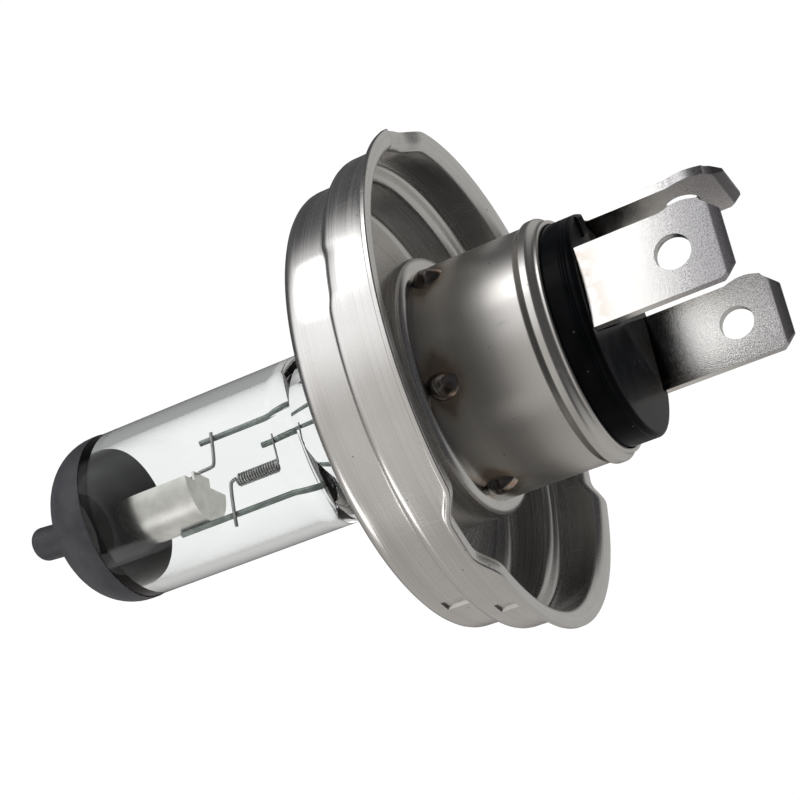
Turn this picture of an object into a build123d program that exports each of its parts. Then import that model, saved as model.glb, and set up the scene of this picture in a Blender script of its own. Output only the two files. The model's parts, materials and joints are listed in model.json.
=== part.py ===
from build123d import *
import os

# A three-blade halogen headlight bulb on a 45 mm prefocus flange, in millimetres.
# +Y runs along the bulb's axis to the rear, where the blades are, and the glass points to -Y.
# +Z is up as the bulb is fitted, on the side of the lone horizontal blade. The origin is on the
# axis, in the plane of the flange's three pressed seating pads.

# Flange: one piece of drawn sheet, a stepped cup that is open to the rear
SHEET = 0.5
LIP_R = 22.5
PAD_H = 1.2                 # how far the pads stand in front of the lip
LIP_Y = PAD_H
COLLAR_R = 21.3             # locating collar, next to the lip
COLLAR_FRONT = -3.3
NOSE_R = 19.95              # the smaller front step
NOSE_FRONT = -7.6
NECK_R = 11.2               # bore of the neck that stands inside the cup
NECK_REAR = -1.0
RIM_CUT = -1.6              # below this level the cup is the same all round
PAD_ANGLES = (65, -55, 185)
PAD_HALF = 6.5              # degrees of flat pad each side of its middle
PAD_RAMP = 3.5              # degrees of slope at each end
DIMPLE_ANGLES = (-79.5, 100.5)
DIMPLE_DEPTH = 0.3
PRESS_ROUND = 0.2

# Base shell: a drawn tube whose rear end is rolled into a bead over the insulator
SHELL_R = 10.45
SHELL_WALL = 0.4
SHELL_BORE = SHELL_R - SHELL_WALL
BEAD_R = 10.78
BEAD_Y = 9.3
SHELL_REAR = 10.5
SHELL_END_R = 10.3

# Insulator and blades
PLASTIC_R = 9.85
PLASTIC_FRONT = 7.2
PLASTIC_REAR = 12.9
BLADE_T = 0.8
BLADE_HALF = 3.6
BLADE_ROOT = 5.4
BLADE_TIP = 25.15
BLADE_IN = 7.85             # inner face of the side blades from the axis
TOP_BLADE_IN = 8.2          # underside of the top blade from the axis
BLADE_HOLE_Y = 20.8
BLADE_HOLE_R = 1.5
LOBE_H = 0.35               # the bulge on one long edge beside the hole
TIP_LENGTH = 1.2            # where the tip's corners start
COIN_LENGTH = 0.8           # the coined bevel across the tip
COIN_DEPTH = 0.25
LUG = (1.9, 1.4, 2.2)       # on the insulator's rear edge: out, along, across
LUG_ANGLE = 58

# Glass capsule
GLASS_R = 7.85
GLASS_WALL = 1.2
DOME_FRONT = -41.9
DOME_ROUND = 4.8
COAT_EDGE = -36.5
COAT_T = 0.08
TIP_R = 1.55                # sealed exhaust tip
TIP_END = -46.9
TIP_LEAN = 5                # degrees
PINCH_Y = -14.4             # where the tube starts to flatten
PINCH_HALF = 2.1
PINCH_FULL = -11.2
JAW_FILLETS = [0.4, 1.2]
CAVITY_FILLET = 3.2
PINCH_REAR = -2.5

# What the capsule holds
WIRE_R = 0.27
TAIL_R = 0.2
COIL_R = 0.5
COIL_WIRE_R = 0.13
HIGH_COIL = (-24.3, -20.2, -0.7)      # front, rear, height
LOW_COIL = (-33.4, -28.9, 0.7)
LOW_WIRE_Z = 4.2
HIGH_WIRE_Z = 1.7
COMMON_WIRE_Z = -3.7
LOW_WIRE_FRONT = -27.7
HIGH_WIRE_FRONT = -21.4
COMMON_WIRE_FRONT = -31.0
LOW_TAIL_Y = -26.2
HIGH_TAIL_Y = -19.8
COMMON_TAIL_Y = -25.0
TAIL_OVER = 0.45            # how far a tail runs past its wire
COMMON_TAIL_OVER = 1.2
SHIELD_R = 3.43
SHIELD_T = 0.25
SHIELD_FRONT = -36.9
SHIELD_REAR = -27.8
SHIELD_TAB = (2.6, 1.4)     # width and height
SHIELD_TAB_AT = (0.5, 0.2)  # its middle, across and up
FOIL_FRONT = -12.0
FOIL_REAR = -5.5
FOIL_HALF = 0.75
FOIL_T = 0.1

# Burner holder and leads
CLIP_T = 0.35
CLIP_FRONT = -10.2
CLIP_REAR = -5.4
CARRIER_T = 0.5
CARRIER_R = SHELL_BORE - 0.05
CARRIER_RIM = 2.2
LEAD_R = 0.4
LEAD_STRAIGHT = -1.8
LEAD_UP = 4.4
LEAD_END = 6.4
LEAD_BALL_R = 0.55

# Welds
DROP_ANGLES = [38 - 60 * i for i in range(6)]
DROP_Y = 0.25
DROP_R = 1.5
DROP_H = 0.8


def turned(shape, angle):
    """Turn a shape about the bulb's axis, from +X towards +Z."""
    return Rot(0, -angle, 0) * shape


def rod(start, end, radius):
    """A straight round bar between two points."""
    path = Line(start, end)
    return sweep(Plane(origin=start, z_dir=path @ 1 - path @ 0) * Circle(radius), path=path)


def bent_wire(points, radius):
    """A round wire through the points, with a ball at each bend."""
    wire = rod(points[0], points[1], radius)
    for here, there in zip(points[1:], points[2:]):
        wire += Pos(*here) * Sphere(radius) + rod(here, there, radius)
    return wire


def save(shape, node):
    """Write one node as its own STEP file."""
    export_step(shape, f"parts/{node}.step")


# ---- flange ----

def flange_section(lip_y):
    """Half section of the flange sheet, with its lip at the given level."""
    front = FilletPolyline(
        (LIP_R, lip_y), (COLLAR_R, lip_y), (COLLAR_R, COLLAR_FRONT), (NOSE_R, COLLAR_FRONT),
        (NOSE_R, NOSE_FRONT), (NECK_R, NOSE_FRONT), (NECK_R, NECK_REAR - SHEET),
        (SHELL_R, NECK_REAR - SHEET),
        radius=[0.45, 0.95, 0.3, 1.15, 0.8, 0.3],
    )
    collar, nose, neck = COLLAR_R - SHEET, NOSE_R - SHEET, NECK_R + SHEET
    back = FilletPolyline(
        (LIP_R, lip_y + SHEET), (collar, lip_y + SHEET), (collar, COLLAR_FRONT + SHEET),
        (nose, COLLAR_FRONT + SHEET), (nose, NOSE_FRONT + SHEET), (neck, NOSE_FRONT + SHEET),
        (neck, NECK_REAR), (SHELL_R, NECK_REAR),
        radius=[0.95, 0.45, 0.8, 0.65, 0.3, 0.8],
    )
    ends = Line(front @ 0, back @ 0) + Line(front @ 1, back @ 1)
    return make_face(front + back + ends)


def rim_window():
    """The area behind the level where the pads end."""
    depth = LIP_Y + SHEET - RIM_CUT + 1
    return Pos(LIP_R, RIM_CUT + depth / 2) * Rectangle(4, depth)


def rim_section(lip_y):
    """The part of the flange section behind the level where the pads end."""
    return flange_section(lip_y) & rim_window()


def rim_stretch(lip_y, start, end):
    """The rim between two angles about the axis."""
    return turned(revolve(rim_section(lip_y), axis=Axis.Y, revolution_arc=end - start), end)


def rim_ramp(low_angle, high_angle, low_y, high_y):
    """A sloping stretch of rim that joins the lip to a pad."""
    return loft([turned(rim_section(low_y), low_angle), turned(rim_section(high_y), high_angle)])


def dimple(angle, radius, y, length):
    """The tool that presses a small rectangular dimple into a band of the flange."""
    tool = Box(1.2, length, 1.3)
    tool = fillet(tool.edges().filter_by(Axis.X), PRESS_ROUND)
    return turned(Pos(radius + 0.6 - DIMPLE_DEPTH, y, 0) * tool, angle)


def make_flange():
    ring = revolve(flange_section(LIP_Y) - rim_window(), axis=Axis.Y)
    ends = sorted(PAD_ANGLES)
    for here, after in zip(ends, ends[1:] + [ends[0] + 360]):
        flat_end, ramp_end = here + PAD_HALF, here + PAD_HALF + PAD_RAMP
        next_ramp, next_flat = after - PAD_HALF - PAD_RAMP, after - PAD_HALF
        ring += rim_stretch(0, here - PAD_HALF, flat_end)
        ring += rim_ramp(flat_end, ramp_end, 0, LIP_Y)
        ring += rim_stretch(LIP_Y, ramp_end, next_ramp)
        ring += rim_ramp(next_ramp, next_flat, LIP_Y, 0)
    for angle in DIMPLE_ANGLES:
        ring -= dimple(angle, NOSE_R, NOSE_FRONT + 2.7, 1.9)
        ring -= dimple(angle - 2, COLLAR_R, COLLAR_FRONT + 2.6, 2.1)
    return ring


# ---- base shell, insulator and blades ----

def make_shell():
    outside = FilletPolyline(
        (SHELL_R, NOSE_FRONT), (SHELL_R, BEAD_Y - 0.9), (BEAD_R, BEAD_Y - 0.35), (BEAD_R, BEAD_Y + 0.35),
        (SHELL_END_R, SHELL_REAR - 0.4), (SHELL_END_R, SHELL_REAR),
        radius=[0.5, 0.5, 0.5, 0.5],
    )
    inside = FilletPolyline(
        (SHELL_BORE, NOSE_FRONT), (SHELL_BORE, BEAD_Y - 0.7), (BEAD_R - SHELL_WALL, BEAD_Y - 0.25),
        (BEAD_R - SHELL_WALL, BEAD_Y + 0.25), (SHELL_END_R - SHELL_WALL, SHELL_REAR - 0.55),
        (SHELL_END_R - SHELL_WALL, SHELL_REAR),
        radius=[0.3, 0.3, 0.3, 0.3],
    )
    ends = Line(outside @ 0, inside @ 0) + Line(outside @ 1, inside @ 1)
    return revolve(make_face(outside + inside + ends), axis=Axis.Y)


def blade_outline():
    """A blade laid flat: its width along X and its length along Y, with the lobe on the +X edge."""
    shoulder = BLADE_TIP - TIP_LENGTH
    lobe_start, lobe_end = BLADE_HOLE_Y - 0.2, shoulder - 0.15
    edge = Polyline(
        (BLADE_HALF, lobe_start), (BLADE_HALF, BLADE_ROOT), (-BLADE_HALF, BLADE_ROOT),
        (-BLADE_HALF, shoulder), (-BLADE_HALF + 1.0, BLADE_TIP), (BLADE_HALF - 1.4, BLADE_TIP),
        (BLADE_HALF - 0.3, shoulder), (BLADE_HALF, lobe_end),
    )
    crest = (BLADE_HALF + LOBE_H, (lobe_start + lobe_end) / 2 + 0.2)
    lobe = ThreePointArc((BLADE_HALF, lobe_end), crest, (BLADE_HALF, lobe_start))
    return make_face(edge + lobe) - Pos(0, BLADE_HOLE_Y) * Circle(BLADE_HOLE_R)


def flat_blade():
    """A blade lying on the XY plane, its tip coined to a bevel on both faces."""
    blade = extrude(blade_outline(), BLADE_T)
    past = BLADE_TIP + 0.5
    for z, side in ((0, 1), (BLADE_T, -1)):
        wedge = Polyline(
            (BLADE_TIP - COIN_LENGTH, z), (past, z - side * 0.5),
            (past, z + side * COIN_DEPTH), (BLADE_TIP, z + side * COIN_DEPTH), close=True,
        )
        blade -= extrude(Plane.YZ * make_face(wedge), 2 * BLADE_HALF, both=True)
    return blade


def make_blades():
    """The three blades. The lobe is on the upper edge of the side blades."""
    flat = flat_blade()
    top = Pos(0, 0, TOP_BLADE_IN) * flat
    right = Pos(BLADE_IN, 0, 0) * Rot(0, -90, 0) * mirror(flat, about=Plane.XY)
    left = Pos(-BLADE_IN, 0, 0) * Rot(0, -90, 0) * flat
    return {"blade_top": top, "blade_right": right, "blade_left": left}


def make_insulator(blades):
    spigot = SHELL_BORE - 0.05
    rib = BEAD_R - SHELL_WALL - 0.1
    outline = FilletPolyline(
        (0, PLASTIC_FRONT), (spigot, PLASTIC_FRONT), (spigot, BEAD_Y - 0.5), (rib, BEAD_Y - 0.2),
        (rib, BEAD_Y + 0.1), (PLASTIC_R, SHELL_REAR - 0.7), (PLASTIC_R, PLASTIC_REAR), (0, PLASTIC_REAR),
        radius=[0.3, 0.1, 0.1, 0.1, 0.1, 0.5],
    )
    body = revolve(make_face(outline + Line(outline @ 1, outline @ 0)), axis=Axis.Y)
    body += turned(Pos(PLASTIC_R - 1.1, PLASTIC_REAR - 0.4, 0) * Box(*LUG), LUG_ANGLE)
    for blade in blades.values():
        body -= blade
    return body


# ---- glass capsule ----

def capsule_outside(grow):
    """The capsule's outer form, from its exhaust tip to the rear of its tube, grown by a skin."""
    front = DOME_FRONT - grow
    side = FilletPolyline((0, front), (GLASS_R + grow, front), (GLASS_R + grow, PINCH_REAR),
                          radius=DOME_ROUND + grow)
    body = revolve(make_face(side + Polyline(side @ 1, (0, PINCH_REAR), (0, front))), axis=Axis.Y)
    length = DOME_FRONT - TIP_END
    tip = Pos(0, -length / 2, 0) * Rot(90, 0, 0) * Cylinder(TIP_R + grow, length)
    tip += Pos(0, -length, 0) * Sphere(TIP_R + grow)
    return body + Pos(0, DOME_FRONT + 1, 0) * Rot(-TIP_LEAN, 0, 0) * tip


def capsule_cavity():
    """The gas space inside the tube."""
    bore = GLASS_R - GLASS_WALL
    front = DOME_FRONT + GLASS_WALL
    rear = PINCH_Y + 0.4
    side = FilletPolyline((0, front), (bore, front), (bore, rear), (0, rear), radius=[DOME_ROUND - GLASS_WALL, CAVITY_FILLET])
    return revolve(make_face(side + Line((0, rear), (0, front))), axis=Axis.Y)


def pinch_jaw():
    """The space that one press jaw leaves beside the flat pinch, on the +X side."""
    wide = GLASS_R + 1
    start, corner = (wide, PINCH_Y - 0.6), (PINCH_HALF, PINCH_REAR + 1)
    slope = FilletPolyline(start, (GLASS_R, PINCH_Y), (PINCH_HALF, PINCH_FULL), corner, radius=JAW_FILLETS)
    profile = slope + Polyline(corner, (wide, PINCH_REAR + 1), start)
    return extrude(make_face(profile), 2 * GLASS_R, both=True)


def make_glass(held):
    """The capsule, hollow in front and pinched flat round everything that it holds."""
    jaw = pinch_jaw()
    glass = capsule_outside(0) - capsule_cavity() - jaw - mirror(jaw, about=Plane.YZ)
    for piece in held:
        glass -= piece
    return glass


def make_coating():
    skin = capsule_outside(COAT_T) - capsule_outside(0)
    keep = Pos(0, COAT_EDGE - 10, 0) * Box(30, 20, 30)
    return skin & keep


def coil(front, rear, height):
    """A close-wound filament coil along the axis at the given height."""
    length = rear - front
    pitch = length / round(length / (3.2 * COIL_WIRE_R))
    helix = Helix(pitch=pitch, height=length, radius=COIL_R, center=(0, 0, 0), direction=(0, 0, 1))
    profile = Plane(origin=helix @ 0, z_dir=helix % 0) * Circle(COIL_WIRE_R)
    wound = sweep(profile, path=helix, is_frenet=True)
    return Pos(0, front, height) * Rot(-90, 0, 0) * wound


def make_low_filament():
    front, rear, height = LOW_COIL
    side = COIL_R
    beside = WIRE_R + TAIL_R
    rear_tail = bent_wire([(side, rear, height), (side, rear + 0.5, height + 0.55),
                           (beside, LOW_TAIL_Y - 0.6, height + 0.55),
                           (beside, LOW_TAIL_Y, LOW_WIRE_Z + TAIL_OVER)], TAIL_R)
    front_tail = bent_wire([(side, front, height), (side, front - 0.6, height), (0, front - 1.6, -0.5),
                            (0, SHIELD_FRONT + SHIELD_T, -0.5)], TAIL_R)
    wound = coil(front, rear, height)
    return wound + rear_tail + front_tail


def make_high_filament():
    front, rear, height = HIGH_COIL
    side = COIL_R
    wound = coil(front, rear, height)
    rear_tail = bent_wire([(side, rear, height), (side, rear + 0.3, height),
                           (WIRE_R + TAIL_R, HIGH_TAIL_Y, HIGH_WIRE_Z + TAIL_OVER)], TAIL_R)
    front_tail = bent_wire([(side, front, height), (side, front - 0.3, height),
                            (WIRE_R + TAIL_R, COMMON_TAIL_Y - 0.1, COMMON_WIRE_Z - COMMON_TAIL_OVER)], TAIL_R)
    return wound + rear_tail + front_tail


def make_shield():
    """The spoon-shaped cap under the low beam filament, open at the top, with a plate at its rear."""
    hub = SHIELD_FRONT + SHIELD_R
    tube_length = SHIELD_REAR - hub

    def form(radius, rear):
        tube = Pos(0, (hub + rear) / 2, 0) * Rot(90, 0, 0) * Cylinder(radius, rear - hub)
        return tube + Pos(0, hub, 0) * Sphere(radius)

    spoon = form(SHIELD_R, SHIELD_REAR) - form(SHIELD_R - SHIELD_T, SHIELD_REAR + 1)
    plate = Pos(0, SHIELD_REAR - SHIELD_T / 2, 0) * Rot(90, 0, 0) * Cylinder(SHIELD_R - SHIELD_T / 2, SHIELD_T)
    below = Pos(0, hub + tube_length / 2 - 4, -5) * Box(10, 30, 10)
    (across, up), (wide, tall) = SHIELD_TAB_AT, SHIELD_TAB
    tab = Pos(across, SHIELD_REAR - SHIELD_T / 2, up) * Box(wide, SHIELD_T, tall)
    return (spoon + plate & below) + tab


def make_wires():
    low = rod((0, LOW_WIRE_FRONT, LOW_WIRE_Z), (0, FOIL_FRONT, LOW_WIRE_Z), WIRE_R)
    high = rod((0, HIGH_WIRE_FRONT, HIGH_WIRE_Z), (0, FOIL_FRONT, HIGH_WIRE_Z), WIRE_R)
    common = rod((0, COMMON_WIRE_FRONT, COMMON_WIRE_Z), (0, FOIL_FRONT, COMMON_WIRE_Z), WIRE_R)
    return {"low_beam_wire": low, "high_beam_wire": high, "common_wire": common}


def make_foils():
    middle = (FOIL_FRONT + FOIL_REAR) / 2
    sheet = Box(FOIL_T, FOIL_REAR - FOIL_FRONT, 2 * FOIL_HALF)
    heights = {"low_beam_foil": LOW_WIRE_Z, "high_beam_foil": HIGH_WIRE_Z, "common_foil": COMMON_WIRE_Z}
    return {node: Pos(0, middle, height) * sheet for node, height in heights.items()}


def make_leads():
    """The stiff leads from the foils to the roots of the blades."""
    side = BLADE_IN - LEAD_R
    top = TOP_BLADE_IN - LEAD_R
    low = [(0, FOIL_REAR, LOW_WIRE_Z), (0, LEAD_STRAIGHT, LOW_WIRE_Z), (0, LEAD_UP, top), (0, LEAD_END, top)]
    high = [(0, FOIL_REAR, HIGH_WIRE_Z), (0, LEAD_STRAIGHT, HIGH_WIRE_Z), (side, LEAD_UP, 0.6),
            (side, LEAD_END, 0.6)]
    common = [(0, FOIL_REAR, COMMON_WIRE_Z), (0, LEAD_STRAIGHT, COMMON_WIRE_Z), (-side, LEAD_UP, -0.6),
              (-side, LEAD_END, -0.6)]
    routes = {"low_beam_lead": low, "high_beam_lead": high, "common_lead": common}
    return {node: bent_wire(route, LEAD_R) for node, route in routes.items()}


# ---- burner holder and welds ----

def pinch_block(grow, front, rear):
    """A block round the pinch's cross-section."""
    return Pos(0, (front + rear) / 2, 0) * Box(2 * (PINCH_HALF + grow), rear - front, 2 * (GLASS_R + grow))


def make_clip():
    return pinch_block(CLIP_T, CLIP_FRONT, CLIP_REAR) - pinch_block(0, CLIP_FRONT - 1, CLIP_REAR + 1)


def make_carrier():
    """The drawn disc that joins the clip to the shell, with its rim turned to the rear."""
    cup = Pos(0, NOSE_FRONT + CARRIER_RIM / 2, 0) * Rot(90, 0, 0) * Cylinder(CARRIER_R, CARRIER_RIM)
    hollow = Pos(0, NOSE_FRONT + CARRIER_T + CARRIER_RIM / 2, 0) * Rot(90, 0, 0) * Cylinder(
        CARRIER_R - CARRIER_T, CARRIER_RIM)
    return cup - hollow - pinch_block(CLIP_T, CLIP_FRONT, CLIP_REAR)


def make_neck_welds(flange):
    """The weld drops that join the neck's rim to the shell."""
    core = Rot(90, 0, 0) * Cylinder(SHELL_R, 20)
    drops = []
    for angle in DROP_ANGLES:
        ball = turned(Pos(SHELL_R + DROP_H - DROP_R, DROP_Y, 0) * Sphere(DROP_R), angle)
        drop = ball - core - flange
        drops.append(max(drop.solids(), key=lambda one: one.volume))
    return Compound(children=drops)


def make_lead_welds(blades):
    """The ball of weld at the end of each lead, against its blade."""
    side = BLADE_IN - LEAD_R
    top = TOP_BLADE_IN - LEAD_R
    size = 2 * LEAD_BALL_R
    balls = []
    for x, z in ((0, top), (side, 0.6), (-side, -0.6)):
        behind = Pos(x, LEAD_END + LEAD_BALL_R, z) * Box(2 * size, size, 2 * size)
        ball = Pos(x, LEAD_END, z) * Sphere(LEAD_BALL_R) & behind
        for blade in blades.values():
            ball -= blade
        balls += ball.solids()
    return Compound(children=balls)


# ---- the assembly ----

def main():
    os.makedirs("parts", exist_ok=True)
    flange = make_flange()
    shell = make_shell()
    blades = make_blades()
    wires = make_wires()
    foils = make_foils()
    leads = make_leads()
    shield = make_shield() - wires["common_wire"]
    low_filament = make_low_filament() - wires["low_beam_wire"] - shield
    high_filament = make_high_filament() - wires["high_beam_wire"] - wires["common_wire"]
    held = list(wires.values()) + list(foils.values()) + list(leads.values())
    pieces = {
        "flange_ring": flange,
        "base_shell": shell,
        "insulator": make_insulator(blades),
        "glass_capsule": make_glass(held),
        "antiglare_coating": make_coating(),
        "low_beam_filament": low_filament,
        "high_beam_filament": high_filament,
        "low_beam_shield": shield,
        "burner_clip": make_clip(),
        "carrier_disc": make_carrier(),
        "neck_welds": make_neck_welds(flange),
        "lead_welds": make_lead_welds(blades),
        **blades, **wires, **foils, **leads,
    }
    for node, shape in pieces.items():
        save(shape, node)


if __name__ == "__main__":
    main()
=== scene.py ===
import json
import math

import bpy
from mathutils import Matrix, Vector

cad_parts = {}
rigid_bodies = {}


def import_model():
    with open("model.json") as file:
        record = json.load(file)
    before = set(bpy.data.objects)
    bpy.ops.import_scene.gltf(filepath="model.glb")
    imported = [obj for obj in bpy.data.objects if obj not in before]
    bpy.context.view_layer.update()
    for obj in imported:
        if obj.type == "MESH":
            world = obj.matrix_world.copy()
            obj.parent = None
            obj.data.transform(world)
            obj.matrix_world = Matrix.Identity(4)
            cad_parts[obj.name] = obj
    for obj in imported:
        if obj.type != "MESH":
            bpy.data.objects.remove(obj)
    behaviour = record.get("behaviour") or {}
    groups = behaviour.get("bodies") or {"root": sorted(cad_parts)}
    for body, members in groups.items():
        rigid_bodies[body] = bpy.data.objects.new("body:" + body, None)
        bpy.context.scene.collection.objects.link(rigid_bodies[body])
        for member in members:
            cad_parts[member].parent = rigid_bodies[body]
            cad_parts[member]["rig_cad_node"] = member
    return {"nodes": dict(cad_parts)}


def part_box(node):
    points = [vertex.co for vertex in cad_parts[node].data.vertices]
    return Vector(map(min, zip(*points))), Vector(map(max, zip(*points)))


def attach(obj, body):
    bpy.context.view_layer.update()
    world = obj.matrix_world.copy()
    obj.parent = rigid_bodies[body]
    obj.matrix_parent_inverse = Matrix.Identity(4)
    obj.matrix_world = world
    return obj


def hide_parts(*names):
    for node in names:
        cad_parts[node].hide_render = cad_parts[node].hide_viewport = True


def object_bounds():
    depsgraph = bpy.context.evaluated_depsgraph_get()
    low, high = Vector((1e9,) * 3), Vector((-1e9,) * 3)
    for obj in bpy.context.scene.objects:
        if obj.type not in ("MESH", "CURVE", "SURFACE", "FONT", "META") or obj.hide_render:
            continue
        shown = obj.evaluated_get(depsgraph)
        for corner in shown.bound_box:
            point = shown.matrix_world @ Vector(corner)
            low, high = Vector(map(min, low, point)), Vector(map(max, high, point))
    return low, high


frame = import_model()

# A halogen headlight bulb in metres, in the row's frame: +Y runs along the axis to the blades,
# the glass points to -Y, and +Z is the side of the lone horizontal blade.

for spare in [o for o in bpy.data.objects if "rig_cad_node" not in o and not o.name.startswith("body:")]:
    bpy.data.objects.remove(spare)
cad_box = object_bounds()

MM = 0.001


def half_width(node):
    """A node's largest distance from the axis along X, in millimetres."""
    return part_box(node)[1].x / MM


def front(node):
    """Where a node starts along the axis, in millimetres."""
    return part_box(node)[0].y / MM


def rear(node):
    """Where a node ends along the axis, in millimetres."""
    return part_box(node)[1].y / MM


# Flange, in millimetres
SHEET = 0.5
LIP_R = half_width("flange_ring")
LIP_Y = rear("flange_ring") - SHEET
COLLAR_R = LIP_R - 1.2
COLLAR_FRONT = -3.3
NOSE_R = 19.95
NOSE_FRONT = front("flange_ring")
NECK_R = 11.2
NECK_REAR = -1.0
PADS = (65, -55, 185)            # degrees about the axis, from +X towards +Z
PAD_HALF = 4
PAD_RAMP = 8
DIMPLES = (-79, 101)
DIMPLE_DEPTH = 0.3
DIMPLE_HALF = 2                  # degrees
DENT_ANGLE = 8                   # a shallow dent in the nose's rear edge
DENT_SHIFT = (-0.22, 0.12)
DENT_REACH = 1.4
COLUMNS = 360                    # one column of faces for each degree

# Shell and insulator
SHELL_R = 10.45
SHELL_WALL = 0.4
SHELL_BORE = SHELL_R - SHELL_WALL
BEAD_R = half_width("base_shell")
BEAD_Y = 9.3
SHELL_REAR = rear("base_shell")
SHELL_END_R = 10.3
PLASTIC_R = 9.85
PLASTIC_FRONT = front("insulator")
PLASTIC_REAR = rear("insulator")
LUG_ANGLE = 58
LUG_SIZE = (1.9, 1.3, 2.2)
RIDGE_START = PLASTIC_REAR - 1.15
RIDGE_PITCH = 0.24
RIDGES = 3
SLOT_GAP = 0.14
SLOT_TIGHT = 0.04
SLOT_DEEP = 0.9

# Blades
BLADE_T = 0.8
BLADE_HALF = 3.6
BLADE_ROOT = front("blade_top")
BLADE_TIP = rear("blade_top")
SIDE_BLADE_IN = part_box("blade_right")[0].x / MM
TOP_BLADE_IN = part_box("blade_top")[0].z / MM
HOLE_Y = 20.8
HOLE_R = 1.5
LOBE_H = 0.35
TIP_TAPER = 1.2
COIN_LENGTH = 0.8
COIN_DEPTH = 0.25

# Glass capsule and its coating
COAT_T = 0.08
COAT_BITE = 0.01                 # how far the paint reaches into the glass
GLASS_R = half_width("glass_capsule")
GLASS_WALL = 1.2
DOME_FRONT = -41.9
DOME_ROUND = 4.8
COAT_EDGE = rear("antiglare_coating")
TIP_R = 1.55
TIP_LENGTH = 5.0
TIP_LEAN = 5
PINCH_Y = -14.4
PINCH_HALF = 2.1
PINCH_FULL = -11.2
PINCH_REAR = -2.5

# Filaments and shield
WIRE_R = 0.27
TAIL_R = 0.17
COIL_R = 0.5
COIL_WIRE_R = 0.11
COIL_PITCH = 0.25
LOW_WIRE_Z = 4.2
HIGH_WIRE_Z = 1.7
COMMON_WIRE_Z = -3.7
LOW_TAIL_Y = -26.2
HIGH_TAIL_Y = -19.8
COMMON_TAIL_Y = -25.0
TAIL_OVER = 0.45
COMMON_TAIL_OVER = 1.2
HIGH_COIL = (-24.3, -20.2, -0.7)       # front, rear, height
LOW_COIL = (-33.4, -28.9, 0.7)
SHIELD_T = 0.25
SHIELD_FRONT = front("low_beam_shield")

# Welds
DROP_ANGLES = [38 - 60 * i for i in range(6)]
DROP_Y = 0.25
DROP_R = 1.5
DROP_H = 0.8

# Camera and lights
CAMERA_AIM = (3.1, -6.36, -0.62)
CAMERA_DISTANCE = 152.85
CAMERA_AZIMUTH = 22.95           # degrees, from +X towards +Y
CAMERA_ELEVATION = -24.33
CAMERA_ROLL = -11.46
CAMERA_LENS = 81.07
KEY_DIRECTION = (0.9, -0.3, 0.9)
LOW_DIRECTION = (0.3, -0.9, -0.8)
LIGHT_DISTANCE = 300


# ---- modelling helpers ----

def deselect():
    bpy.ops.object.select_all(action="DESELECT")


def edit(piece):
    """Open one piece in edit mode with nothing selected."""
    deselect()
    bpy.context.view_layer.objects.active = piece
    piece.select_set(True)
    bpy.ops.object.mode_set(mode="EDIT")
    bpy.ops.mesh.select_mode(type="VERT")
    bpy.ops.mesh.select_all(action="DESELECT")


def done():
    bpy.ops.object.mode_set(mode="OBJECT")


def pick(piece, wanted):
    """Select the vertices whose place in millimetres is wanted."""
    bpy.ops.mesh.select_all(action="DESELECT")
    done()
    for vertex in piece.data.vertices:
        vertex.select = wanted(vertex.co / MM)
    bpy.ops.object.mode_set(mode="EDIT")


def pick_faces(piece, wanted):
    """Select the faces whose middle in millimetres and normal are wanted."""
    bpy.ops.mesh.select_mode(type="FACE")
    bpy.ops.mesh.select_all(action="DESELECT")
    done()
    for face in piece.data.polygons:
        face.select = wanted(face.center / MM, face.normal)
    bpy.ops.object.mode_set(mode="EDIT")


def angle_of(point):
    """The angle about the bulb's axis, from +X towards +Z."""
    return math.degrees(math.atan2(point.z, point.x))


def between(angle, middle):
    """The signed angle from a middle, within half a turn."""
    return (angle - middle + 180) % 360 - 180


def radius_of(point):
    return math.hypot(point.x, point.z)


def rounded(corners, steps=6):
    """The points of an outline whose corners are (across, along, fillet radius)."""
    points = []
    for index, corner in enumerate(corners):
        here = Vector(corner[:2])
        fillet = corner[2] if len(corner) > 2 else 0
        if not fillet:
            points.append(here)
            continue
        before = (Vector(corners[index - 1][:2]) - here).normalized()
        after = (Vector(corners[(index + 1) % len(corners)][:2]) - here).normalized()
        half = before.angle(after) / 2
        centre = here + (before + after).normalized() * fillet / math.sin(half)
        start = here + before * fillet / math.tan(half) - centre
        turn = math.pi - 2 * half
        if before.cross(after) > 0:
            turn = -turn
        points += [centre + Matrix.Rotation(turn * i / steps, 2) @ start for i in range(steps + 1)]
    return points


def trace(name, points, closed):
    """A chain of edges through (x, y) points on the XY plane, grown from one vertex."""
    deselect()
    bpy.ops.mesh.primitive_plane_add(size=MM, location=(0, 0, 0))
    piece = bpy.context.object
    piece.name = piece.data.name = name
    bpy.ops.object.mode_set(mode="EDIT")
    bpy.ops.mesh.select_mode(type="VERT")
    bpy.ops.mesh.merge(type="CENTER")
    bpy.ops.transform.translate(value=(points[0].x * MM, points[0].y * MM, 0))
    for here, there in zip(points, points[1:]):
        step = (there - here) * MM
        bpy.ops.mesh.extrude_region_move(TRANSFORM_OT_translate={"value": (step.x, step.y, 0)})
    bpy.ops.mesh.select_all(action="SELECT")
    if closed:
        bpy.ops.mesh.edge_face_add()
    return piece


def tidy_mesh(piece, sharp=35):
    """Join the seams, turn the faces outwards and shade smooth but for the sharp edges."""
    bpy.ops.mesh.select_all(action="SELECT")
    bpy.ops.mesh.remove_doubles(threshold=0.002 * MM)
    bpy.ops.mesh.normals_make_consistent(inside=False)
    done()
    bpy.ops.object.shade_smooth_by_angle(angle=math.radians(sharp))
    return piece


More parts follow.
